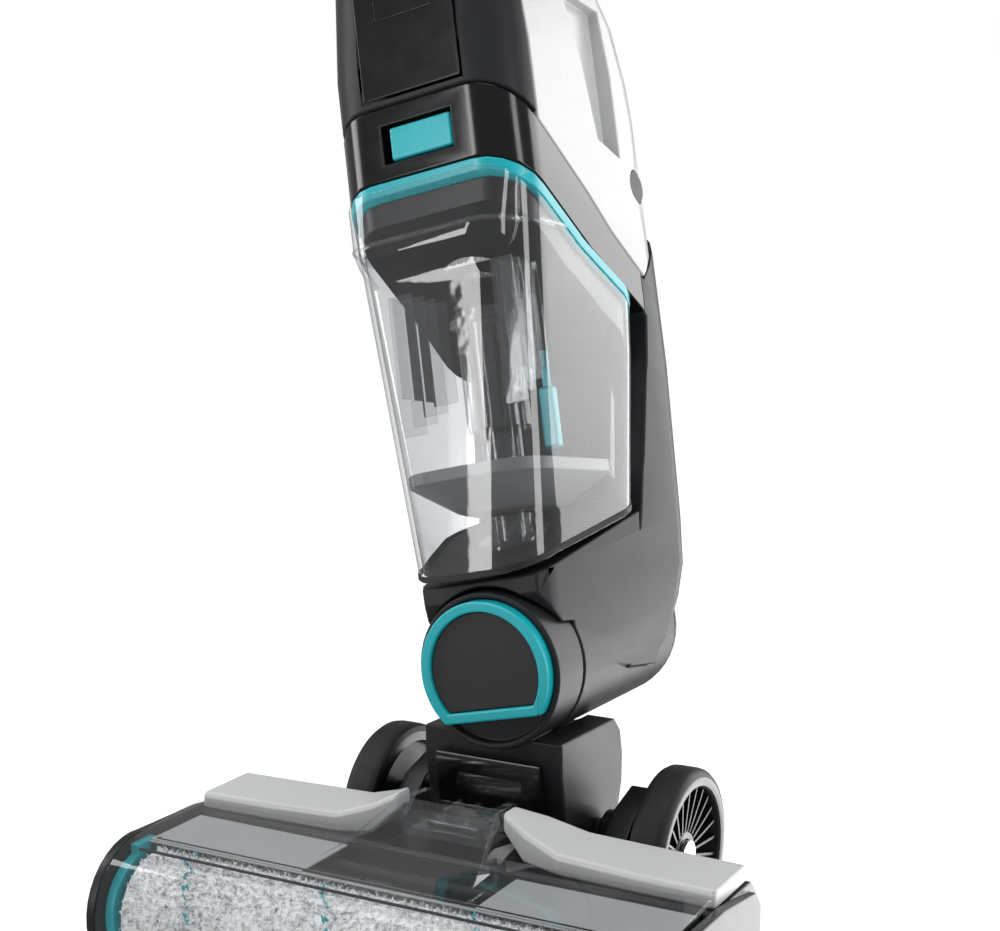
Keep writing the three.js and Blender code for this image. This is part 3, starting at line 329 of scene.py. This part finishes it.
# %% [markdown]
# Every shape below starts from a primitive and is worked in edit mode. These few helpers hold the
# steps that repeat: choosing one object, cleaning its mesh, rounding its edges, growing a turned
# shape cap by cap, and handing the finished piece to the body it moves with.

# %% Modelling helpers
def only(obj):
    if bpy.context.object and bpy.context.object.mode != "OBJECT":
        bpy.ops.object.mode_set(mode="OBJECT")
    bpy.ops.object.select_all(action="DESELECT")
    bpy.context.view_layer.objects.active = obj
    obj.select_set(True)


def edit_all(obj, *steps):
    only(obj)
    bpy.ops.object.mode_set(mode="EDIT")
    bpy.ops.mesh.select_mode(type="VERT")
    bpy.ops.mesh.select_all(action="SELECT")
    for step in steps:
        step()
    bpy.ops.object.mode_set(mode="OBJECT")
    return obj


def outward():
    bpy.ops.mesh.select_all(action="SELECT")
    bpy.ops.mesh.normals_make_consistent(inside=False)


def modify(obj, kind, **settings):
    only(obj)
    made = obj.modifiers.new(kind.title(), kind)
    for key, value in settings.items():
        setattr(made, key, value)
    bpy.ops.object.modifier_apply(modifier=made.name)
    return obj


def rounded(obj, width, segments=3, angle=35):
    modify(obj, "BEVEL", width=width, segments=segments, limit_method="ANGLE",
           angle_limit=math.radians(angle), use_clamp_overlap=False, harden_normals=False)
    only(obj)
    bpy.ops.object.shade_smooth_by_angle(angle=math.radians(angle))
    modify(obj, "WEIGHTED_NORMAL", keep_sharp=True, weight=60)
    return obj


def painted(obj, *materials):
    obj.data.materials.clear()
    for material in materials:
        obj.data.materials.append(material)
    return obj


def carried(obj, matrix):
    obj.data.transform(matrix)
    obj.data.update()
    return obj


def fitted(obj, name, body, slot, *nodes):
    obj.name = name
    obj.data.name = name
    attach(obj, body)
    if nodes:
        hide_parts(*nodes)
    return obj


def copied(node, name):
    obj = bpy.data.objects.new(name, frame["nodes"][node].data.copy())
    bpy.context.scene.collection.objects.link(obj)
    edit_all(obj, lambda: bpy.ops.mesh.remove_doubles(threshold=0.00008),
             lambda: bpy.ops.mesh.dissolve_limited(angle_limit=math.radians(0.8)), outward)
    return obj


def refined(node, body, slot, material, width=0.0007, segments=3, angle=35):
    obj = copied(node, node + "_moulded")
    rounded(obj, width, segments, angle)
    painted(obj, material)
    return fitted(obj, node + "_moulded", body, slot, node)


def merged(first, *others):
    only(first)
    for other in others:
        other.select_set(True)
    bpy.ops.object.join()
    return first


def block(low, high, width=0.0006, segments=2):
    low, high = Vector(low), Vector(high)
    bpy.ops.mesh.primitive_cube_add(size=1)
    obj = bpy.context.object
    size = high - low
    obj.data.transform(Matrix.Translation((low + high) / 2) @ Matrix.Diagonal((*size, 1)))
    if width:
        rounded(obj, width, segments)
    return obj


def turned(profile, segments=64, smooth=40):
    radius, height = profile[0]
    bpy.ops.mesh.primitive_circle_add(vertices=segments, radius=radius, fill_type="NGON",
                                      location=(0, 0, height))
    obj = bpy.context.object
    bpy.ops.object.transform_apply(location=True)
    bpy.ops.object.mode_set(mode="EDIT")
    bpy.ops.mesh.select_mode(type="FACE")
    bpy.ops.mesh.select_all(action="SELECT")
    for next_radius, next_height in profile[1:]:
        bpy.ops.mesh.extrude_region_move(
            TRANSFORM_OT_translate={"value": (0, 0, next_height - height)})
        scale = next_radius / radius
        bpy.ops.transform.resize(value=(scale, scale, 1),
                                 center_override=(0, 0, next_height))
        radius, height = next_radius, next_height
    outward()
    bpy.ops.object.mode_set(mode="OBJECT")
    only(obj)
    bpy.ops.object.shade_smooth_by_angle(angle=math.radians(smooth))
    return obj


def swept(x0, x1, inner, outer, start, end, steps=12):
    bpy.ops.mesh.primitive_plane_add(size=1)
    obj = bpy.context.object
    size = Matrix.Diagonal(((x1 - x0) * MM, (outer - inner) * MM, 1, 1))
    middle = Matrix.Translation(((x0 + x1) / 2 * MM, (inner + outer) / 2 * MM, 0))
    obj.data.transform(Matrix.Rotation(math.radians(start), 4, "X") @ middle @ size)
    edit_all(obj, lambda: bpy.ops.mesh.spin(steps=steps, angle=math.radians(end - start),
                                            center=(0, 0, 0), axis=(1, 0, 0)), outward)
    return obj


def banded(node, name, low, high, normal, thickness):
    obj = carried(copied(node, name), BODY.inverted())
    edit_all(obj, lambda: bpy.ops.mesh.bisect(plane_co=low, plane_no=normal, clear_inner=True),
             lambda: bpy.ops.mesh.select_all(action="SELECT"),
             lambda: bpy.ops.mesh.bisect(plane_co=high, plane_no=normal, clear_outer=True))
    modify(obj, "SOLIDIFY", thickness=thickness, offset=1)
    rounded(obj, 0.00018, 2)
    return carried(obj, BODY)


TO_X = Matrix.Rotation(math.radians(90), 4, "Y")


print("modelling helpers ready")

# %% [markdown]
# The foot is one black moulding that carries the brush motor, the belt and the roll. The moulded
# edges are about half a millimetre round, because a sharp edge would chip and would show the join
# of the mould. The same holds for the two pale deck panels, which are glossier and rounder.

# %% Foot mouldings
foot_parts = [
    refined("foot_chassis", "foot", "black_plastic", BLACK, 0.0008),
    refined("deck_panel_left", "foot", "pale_plastic", PALE, 0.0014, 4),
    refined("deck_panel_right", "foot", "pale_plastic", PALE, 0.0014, 4),
    refined("roll_end_tab", "foot", "teal_plastic", TEAL, 0.0006),
    refined("suction_duct", "foot", "charcoal_plastic", BLACK, 0.0005),
    refined("spray_bar", "foot", "charcoal_plastic", CHARCOAL, 0.0003),
    refined("squeegee", "foot", "rubber", RUBBER, 0.0003),
    refined("base_plate", "foot", "steel", STEEL, 0.0003),
    refined("wheel_carrier", "foot", "black_plastic", BLACK, 0.0009),
    refined("brush_motor", "foot", "motor_metal", MOTOR_CAN, 0.0005),
    refined("drive_belt", "foot", "rubber", RUBBER, 0.0002),
    refined("motor_pulley", "motor_drive", "steel", STEEL, 0.0002),
    refined("roll_pulley", "roll", "charcoal_plastic", CHARCOAL, 0.0002),
    refined("roll_core", "roll", "grey_plastic", MID_GREY, 0.0003),
]
print("foot mouldings:", len(foot_parts))

# %% [markdown]
# The cover is the window over the roll. It is one clear moulding with a raised middle that leads
# the dirty water back to the neck, and its rear edge seals on a black gasket. A grey shield lies
# under its top, and a thin black seal runs round the window.

# %% Clear cover, gasket and latch
cover = refined("clear_cover", "cover", "clear_plastic", CLEAR_COVER, 0.0002, 2)
gasket = refined("cover_gasket", "foot", "rubber", RUBBER, 0.0005)
latch = refined("cover_latch", "latch", "charcoal_plastic", CLEAR_INNER, 0.0005)
ROLL_AXIS = Vector(joints["roll_spin"]["pos_m"])
ABOUT_ROLL = Matrix.Translation((AXLE.x, ROLL_AXIS.y, ROLL_AXIS.z))

panels = [rounded(swept(-129, 129, 28.9, 29.6, 88, 109), 0.0002, 2)]
for x0, x1 in ((-129, -44), (44, 129)):
    panels.append(block((x0 * MM, 2 * MM, 29.4 * MM), (x1 * MM, 39 * MM, 30.2 * MM), 0.0002))
shield = painted(carried(merged(*panels), ABOUT_ROLL), SHIELD_GREY)
fitted(shield, "roll_shield", "foot", "grey_plastic")
seals = []
for start, end in ((84, 86.5), (108, 110.5)):
    seals.append(rounded(swept(-127, 127, 29.8, 30.8, start, end, 3), 0.0003, 2))
for side in (-1, 1):
    ends = sorted((side * 127, side * 125.4))
    seals.append(rounded(swept(*ends, 29.8, 30.8, 84, 110.5, 6), 0.0003, 2))
window_seal = carried(merged(*seals), ABOUT_ROLL)
fitted(painted(window_seal, RUBBER), "window_seal", "cover", "rubber")
LATCH_LOW, LATCH_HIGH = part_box("cover_latch")
LATCH_X = (LATCH_LOW.x + LATCH_HIGH.x) / 2
ribs = []
for across in (-5, 5):
    ribs.append(block((LATCH_X + (across - 0.8) * MM, LATCH_LOW.y + 2 * MM, LATCH_HIGH.z - 1 * MM),
                      (LATCH_X + (across + 0.8) * MM, LATCH_HIGH.y - 2 * MM,
                       LATCH_HIGH.z + 1.2 * MM),
                      0.0004))
fitted(painted(merged(*ribs), CLEAR_INNER), "latch_ribs", "latch", "clear_plastic")
print("cover faces:", len(cover.data.polygons))

# %% [markdown]
# The roll is a plastic tube with a looped microfibre sleeve. The sleeve is modelled as a soft
# uneven surface with short tufts standing in it. One tuft is modelled, a strip of tufts is copied
# from it, and the strips are turned round the tube, so no two neighbours lie the same way.

# %% Microfibre roll
random.seed(11)
ROLL_LOW, ROLL_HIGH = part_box("roll_pile")
ROLL_LENGTH = ROLL_HIGH.x - ROLL_LOW.x

sleeve = turned([(21 * MM, 0), (25.4 * MM, 0.3 * MM), (26.2 * MM, 1.6 * MM),
                 (26.2 * MM, ROLL_LENGTH - 1.6 * MM), (25.4 * MM, ROLL_LENGTH - 0.3 * MM),
                 (21 * MM, ROLL_LENGTH)], 96)
carried(sleeve, Matrix.Translation((ROLL_LOW.x, ROLL_AXIS.y, ROLL_AXIS.z)) @ TO_X)
painted(sleeve, PILE)


def tuft(length, width):
    bpy.ops.mesh.primitive_cone_add(vertices=4, radius1=width, radius2=width * 0.3, depth=length,
                                    location=(0, 0, length / 2))
    obj = bpy.context.object
    bpy.ops.object.transform_apply(location=True)
    edit_all(obj, lambda: bpy.ops.mesh.subdivide(number_cuts=1))
    for vertex in obj.data.vertices:
        vertex.co.y += 0.35 * vertex.co.z ** 2 / length
    return obj


def strip(count, material):
    tufts = []
    for i in range(count):
        piece = tuft(random.uniform(2.4, 3.6) * MM, random.uniform(0.7, 1.3) * MM)
        lean = Matrix.Rotation(math.radians(random.uniform(-42, 42)), 4, "Y")
        turn = Matrix.Rotation(math.radians(random.uniform(0, 360)), 4, "Z")
        along = Matrix.Translation((random.uniform(0, 1) * ROLL_LENGTH * 0.99, 0,
                                    25.2 * MM + random.uniform(-0.3, 0) * MM))
        carried(piece, along @ lean @ turn)
        tufts.append(piece)
    return painted(merged(*tufts), material)


strips = [strip(60, PILE) for _ in range(5)]
rows = []
for i in range(140):
    row = strips[i % 5].copy()
    row.data = row.data.copy()
    bpy.context.scene.collection.objects.link(row)
    turn = Matrix.Rotation(math.radians(i * 360 / 140 + random.uniform(-1, 1)), 4, "X")
    if i % 2:
        turn = turn @ Matrix.Translation((ROLL_LENGTH, 0, 0)) @ Matrix.Rotation(math.pi, 4, "Z")
    carried(row, Matrix.Translation((ROLL_LOW.x, ROLL_AXIS.y, ROLL_AXIS.z)) @ turn)
    rows.append(row)
for source in strips:
    bpy.data.objects.remove(source)
merged(sleeve, *rows)
fitted(sleeve, "roll_microfibre", "roll", "pile", "roll_pile")
print("pile faces:", len(sleeve.data.polygons))

# %% [markdown]
# A teal band of yarn runs round the roll in a slow helix. It shows through the window as a few
# teal dots, and tells the user that the roll is turning.

# %% Teal band of the roll
teal_tufts = []
for i in range(150):
    piece = tuft(random.uniform(3.0, 3.9) * MM, random.uniform(0.9, 1.5) * MM)
    share = i / 150
    along = (0.06 + 0.88 * share) * ROLL_LENGTH + random.uniform(-2.5, 2.5) * MM
    lean = Matrix.Rotation(math.radians(random.uniform(-35, 35)), 4, "Y")
    turn = Matrix.Rotation(math.radians(-40 + 360 * 3 * share + random.uniform(-5, 5)), 4, "X")
    carried(piece, Matrix.Translation((ROLL_LOW.x + along, ROLL_AXIS.y, ROLL_AXIS.z)) @ turn
            @ Matrix.Translation((0, 0, 25.4 * MM)) @ lean)
    teal_tufts.append(piece)
band = painted(merged(*teal_tufts), TEAL_YARN)
fitted(band, "roll_teal_band", "roll", "pile")
print("teal tufts:", 150)

# %% [markdown]
# Each wheel is a black moulding with a softer tread. Its outer side is dished, and thin ribs tie
# the hub to the rim, which keeps the wheel stiff with little plastic.

# %% Wheels and axles
WHEEL_RADIUS = AXLE_HEIGHT
WHEEL_MID = 78 * MM


def wheel(side):
    rim = turned([
        (11 * MM, -13 * MM), (11.6 * MM, -12.4 * MM), (11.6 * MM, -5.2 * MM), (32 * MM, -5.2 * MM),
        (33.4 * MM, -6 * MM), (34.2 * MM, -9.2 * MM), (38.6 * MM, -8.9 * MM),
        (41.2 * MM, -8.0 * MM), (42.3 * MM, -6.2 * MM), (42.5 * MM, -4 * MM), (42.5 * MM, 4 * MM),
        (42.1 * MM, 6.4 * MM), (40.6 * MM, 8.3 * MM), (38.4 * MM, 9.1 * MM), (36.2 * MM, 9.2 * MM),
        (34.4 * MM, 8.8 * MM), (33.4 * MM, 7.8 * MM), (32.2 * MM, 2.2 * MM), (30.5 * MM, -0.9 * MM),
        (14 * MM, -0.9 * MM), (12.8 * MM, 0), (12.2 * MM, 3.6 * MM), (11.4 * MM, 4.2 * MM),
        (8.6 * MM, 4.2 * MM), (8.6 * MM, 2.6 * MM), (5.1 * MM, 2.6 * MM)], 96, 32)
    ribs = []
    for i in range(24):
        rib = block((12 * MM, -0.75 * MM, -1.4 * MM), (33.3 * MM, 0.75 * MM, 4.2 * MM), 0)
        for vertex in rib.data.vertices:
            if vertex.co.z > 0 and vertex.co.x > 20 * MM:
                vertex.co.z = 6.6 * MM
        rounded(rib, 0.0004, 2)
        carried(rib, Matrix.Rotation(math.radians(i * 15), 4, "Z"))
        ribs.append(rib)
    merged(rim, *ribs)
    painted(rim, BLACK, TYRE)
    for face in rim.data.polygons:
        reach = math.hypot(face.center.x, face.center.y)
        face.material_index = 1 if reach > 37.5 * MM else 0
    if side < 0:
        carried(rim, Matrix.Rotation(math.pi, 4, "Y"))
    return carried(rim, Matrix.Translation((AXLE.x + side * WHEEL_MID, AXLE.y, WHEEL_RADIUS))
                   @ TO_X)


fitted(wheel(1), "ribbed_wheel_left", "wheel_l", "black_plastic", "wheel_left")
fitted(wheel(-1), "ribbed_wheel_right", "wheel_r", "black_plastic", "wheel_right")
refined("axle_left", "foot", "steel", STEEL, 0.0004)
refined("axle_right", "foot", "steel", STEEL, 0.0004)
print("wheel radius:", round(WHEEL_RADIUS, 4))

# %% [markdown]
# The neck is a black moulding with a glossy front cover. Behind it a ribbed hose brings the dirty
# water up. The barrel above it is a round housing whose front is closed by a dark disc in a teal
# ring with a flat foot.

# %% Neck and barrel
refined("yoke_shell", "yoke", "black_plastic", CHARCOAL, 0.0012, 3)
refined("yoke_front_cover", "yoke", "gloss_black", GLOSS_BLACK, 0.0006)
refined("barrel_ring", "body", "teal_plastic", TEAL, 0.0010, 4)
refined("barrel_disc", "body", "charcoal_plastic", DARK_DISC, 0.0005)
refined("barrel_rear_cap", "body", "charcoal_plastic", CHARCOAL, 0.0008)
refined("spine_shell", "body", "charcoal_plastic", CHARCOAL, 0.0012, 4)
hose = refined("neck_hose", "yoke", "hose", RUBBER, 0.0003)
print("neck pieces ready")

# %% [markdown]
# The body above the barrel is a black collar between the two tanks, a housing for the suction
# motor and pump, and a glossy strip down the front with the display behind it.

# %% Body mouldings
refined("collar", "body", "gloss_black", GLOSS_BLACK, 0.0008)
refined("tank_button", "tank_release", "teal_plastic", TEAL, 0.0006)
refined("upper_housing", "body", "charcoal_plastic", CHARCOAL, 0.0010)
refined("front_strip", "body", "gloss_black", GLOSS_BLACK, 0.0003)
refined("display_lens", "body", "gloss_black", GLOSS_BLACK, 0.0002)
refined("control_board", "body", "board", BOARD, 0.0002)
refined("suction_motor", "body", "motor_metal", MOTOR_CAN, 0.0008)
refined("water_pump", "body", "grey_plastic", MID_GREY, 0.0006)
refined("suction_fan", "fan", "grey_plastic", MID_GREY, 0.0002)
refined("battery_pack", "battery", "battery", BLACK, 0.0008)
refined("battery_door", "battery", "charcoal_plastic", CHARCOAL, 0.0010)
refined("clean_tank", "clean", "pale_plastic", PALE, 0.0009, 3)
refined("clean_tank_cap", "fill_cap", "charcoal_plastic", CHARCOAL, 0.0006)
print("body mouldings ready")

# %% [markdown]
# The dirty tank is clear so that the user sees when it is full. Inside stand the suction pipe with
# its sleeve, a dish that holds back the coarse dirt, thin baffles that stop the water from rising
# to the filter, and a float that closes the way to the motor. A black band runs round its foot: it
# is painted shade, standing in for the dark line that the edge of the clear wall shows. A clear
# bead stiffens the hood in front. Both are cut from the wall of the tank itself.

# %% Dirty tank and what it holds
refined("dirty_tank", "dirty", "clear_plastic", CLEAR_TANK, 0.0008, 3)
refined("lid_band", "dirty", "teal_plastic", TEAL, 0.0008, 3)
refined("tank_lid", "dirty", "charcoal_plastic", BLACK, 0.0006)
refined("air_filter", "dirty", "filter", PAPER, 0.0003)
refined("intake_pipe", "dirty", "clear_plastic", CLEAR_INNER, 0.0004)
refined("separator_dish", "dirty", "grey_plastic", MID_GREY, 0.0007)
refined("pipe_sleeve", "dirty", "clear_plastic", CLEAR_INNER, 0.0003)
refined("baffle_left", "dirty", "clear_plastic", CLEAR_INNER, 0.0003)
refined("baffle_right", "dirty", "clear_plastic", CLEAR_INNER, 0.0003)
refined("level_float", "float", "teal_plastic", TEAL, 0.0005)

FLOOR_NORMAL = Vector((0, -0.321, 0.947))
FLOOR_POINT = Vector((0, -6.3 * MM, 43.5 * MM))
# A black band round the foot of the clear wall: painted shade, the dark edge line of the clear
# plastic made solid.
dark_edge_band = banded("dirty_tank", "tank_foot_painted_dark_edge", FLOOR_POINT + FLOOR_NORMAL * 0.0006,
                   FLOOR_POINT + FLOOR_NORMAL * 0.0034, FLOOR_NORMAL, 0.0006)
fitted(painted(dark_edge_band, RUBBER), "tank_foot_painted_dark_edge", "dirty", "rubber")
HOOD_HEIGHT = 208.5 * MM
bead = banded("dirty_tank", "hood_bead", (0, 0, HOOD_HEIGHT), (0, 0, HOOD_HEIGHT + 1.5 * MM),
              (0, 0, 1), 0.0006)
fitted(painted(bead, CLEAR_INNER), "hood_bead", "dirty", "clear_plastic")
print("dirty tank pieces ready")

# %% [markdown]
# The handle is a black tube with a closed loop at its top, a power button and a mode button in
# front, and a trigger inside the loop.

# %% Handle
refined("handle_tube", "body", "handle_metal", TUBE, 0.0004)
refined("handle_loop", "body", "black_plastic", BLACK, 0.0010)
refined("power_button", "power", "teal_plastic", TEAL, 0.0006)
refined("mode_button", "mode", "grey_plastic", MID_GREY, 0.0006)
refined("spray_trigger", "trigger", "teal_plastic", TEAL, 0.0005)
print("handle pieces ready")

# %% [markdown]
# The stage is a plain pale floor under a white studio. Soft boxes at both sides and above light the
# machine. Two cards show only in reflections: one puts a tall bright strip on the front of the
# tank, and one lays a pale field over its side.

# %% Stage, light and camera
floor_finish = Finish("pale_floor")
floor_cloud = floor_finish.noise(3, 2, 0.5)
floor_finish.set(Base_Color=floor_finish.between(floor_cloud, (0.34, 0.34, 0.34),
                                                 (0.36, 0.36, 0.36)), Roughness=0.8,
                 Emission_Color=(1, 1, 1, 1), Emission_Strength=0.84)
bpy.ops.mesh.primitive_plane_add(size=40, location=(0, 0, 0))
floor = painted(bpy.context.object, floor_finish.material)
floor.name = "floor"
floor.visible_glossy = False

bpy.context.scene.view_settings.view_transform = "Standard"
bpy.context.scene.view_settings.look = "None"
world = bpy.data.worlds.new("studio")
world.use_nodes = True
studio = world.node_tree
ambient = studio.nodes["Background"]
ambient.inputs["Color"].default_value = (1, 1, 1, 1)
ambient.inputs["Strength"].default_value = 0.40
backdrop = studio.nodes.new("ShaderNodeBackground")
backdrop.inputs["Color"].default_value = (1, 1, 1, 1)
backdrop.inputs["Strength"].default_value = 1.0
path = studio.nodes.new("ShaderNodeLightPath")
either = studio.nodes.new("ShaderNodeMixShader")
studio.links.new(path.outputs["Is Camera Ray"], either.inputs[0])
studio.links.new(ambient.outputs[0], either.inputs[1])
studio.links.new(backdrop.outputs[0], either.inputs[2])
studio.links.new(either.outputs[0], studio.nodes["World Output"].inputs["Surface"])
bpy.context.scene.world = world


def soft_box(name, place, aim, width, height, power):
    bpy.ops.object.light_add(type="AREA", location=place)
    light = bpy.context.object
    light.name = name
    light.data.shape = "RECTANGLE"
    light.data.size = width
    light.data.size_y = height
    light.data.energy = power
    direction = Vector(aim) - Vector(place)
    light.rotation_euler = direction.to_track_quat("-Z", "Y").to_euler()
    light.visible_camera = False
    return light


def card(name, place, aim, width, height, power):
    light = soft_box(name, place, aim, width, height, power)
    light.visible_diffuse = False
    return light


soft_box("light_left", (-1.7, -0.6, 0.9), (0, 0, 0.3), 0.5, 1.8, 20)
soft_box("light_right", (1.9, -0.1, 0.8), (0, 0, 0.3), 0.4, 1.6, 15)
soft_box("light_top", (-0.3, -0.3, 2.4), (0, 0, 0.2), 2.2, 1.8, 34)
card("card_strip", (-0.97, -1.97, 0.75), (0, 0, 0.35), 0.36, 1.3, 16)
card("card_back", (1.00, 1.50, 0.10), (0, 0, 0.25), 1.5, 2.2, 52)

bpy.ops.object.camera_add()
camera = bpy.context.object
camera.name = "camera"
camera.location = (AXLE.x + 0.3930, AXLE.y - 0.75297, 0.3481)
camera.rotation_euler = (math.radians(81.76), 0, math.radians(28.64))
camera.data.lens = 63.85
camera.data.sensor_width = 36
bpy.context.scene.camera = camera
